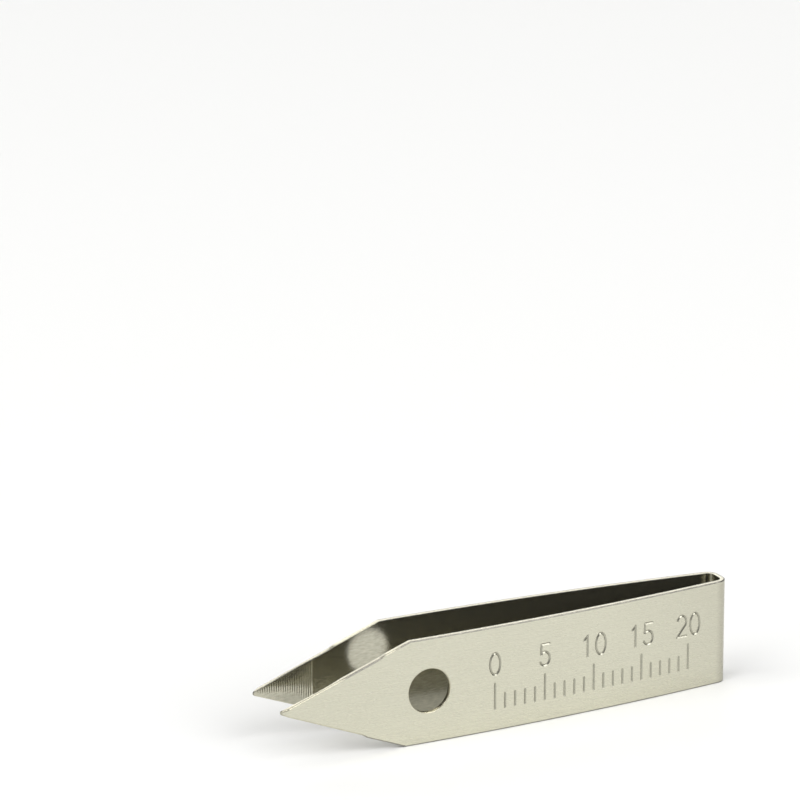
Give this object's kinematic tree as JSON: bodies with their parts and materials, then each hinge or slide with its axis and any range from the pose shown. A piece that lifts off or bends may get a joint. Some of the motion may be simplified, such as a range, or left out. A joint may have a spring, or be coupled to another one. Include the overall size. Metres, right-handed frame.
{
  "type": "stamp tongs",
  "caption": "Small pin-point tongs folded from one spring-steel strip, with two tapered arms, a narrow folded heel and a round hole in one arm.",
  "frame": {"origin": "on the resting plane, under the middle of the bounding box, with the tongs standing on their long edge", "axes": "+X from the tips to the folded heel, +Z across the strip and up, -Y towards the arm with the hole"},
  "size_m": [0.0447, 0.0064, 0.0095],
  "materials": {
    "strip_steel": "satin, brushed along the strip, with bare sheared edges and ground points"
  },
  "bodies": {
    "heel": {"spring_heel": "strip_steel"},
    "front_arm": {"front_arm": "strip_steel"},
    "rear_arm": {"rear_arm": "strip_steel"}
  },
  "joints": [
    {"name": "front_squeeze", "type": "hinge", "parent": "heel", "child": "front_arm", "pos_m": [0.01767, -0.00169, 0.00476], "axis": [0, 0, -1], "range_deg": [0, 3.78], "stiffness_Nm_per_rad": 1.24},
    {"name": "rear_squeeze", "type": "hinge", "parent": "heel", "child": "rear_arm", "pos_m": [0.01767, 0.00169, 0.00476], "axis": [0, 0, 1], "range_deg": [0, 3.78], "stiffness_Nm_per_rad": 1.24}
  ],
  "couplings": [
    {"joint": "rear_squeeze", "follows": "front_squeeze", "ratio": 1}
  ]
}
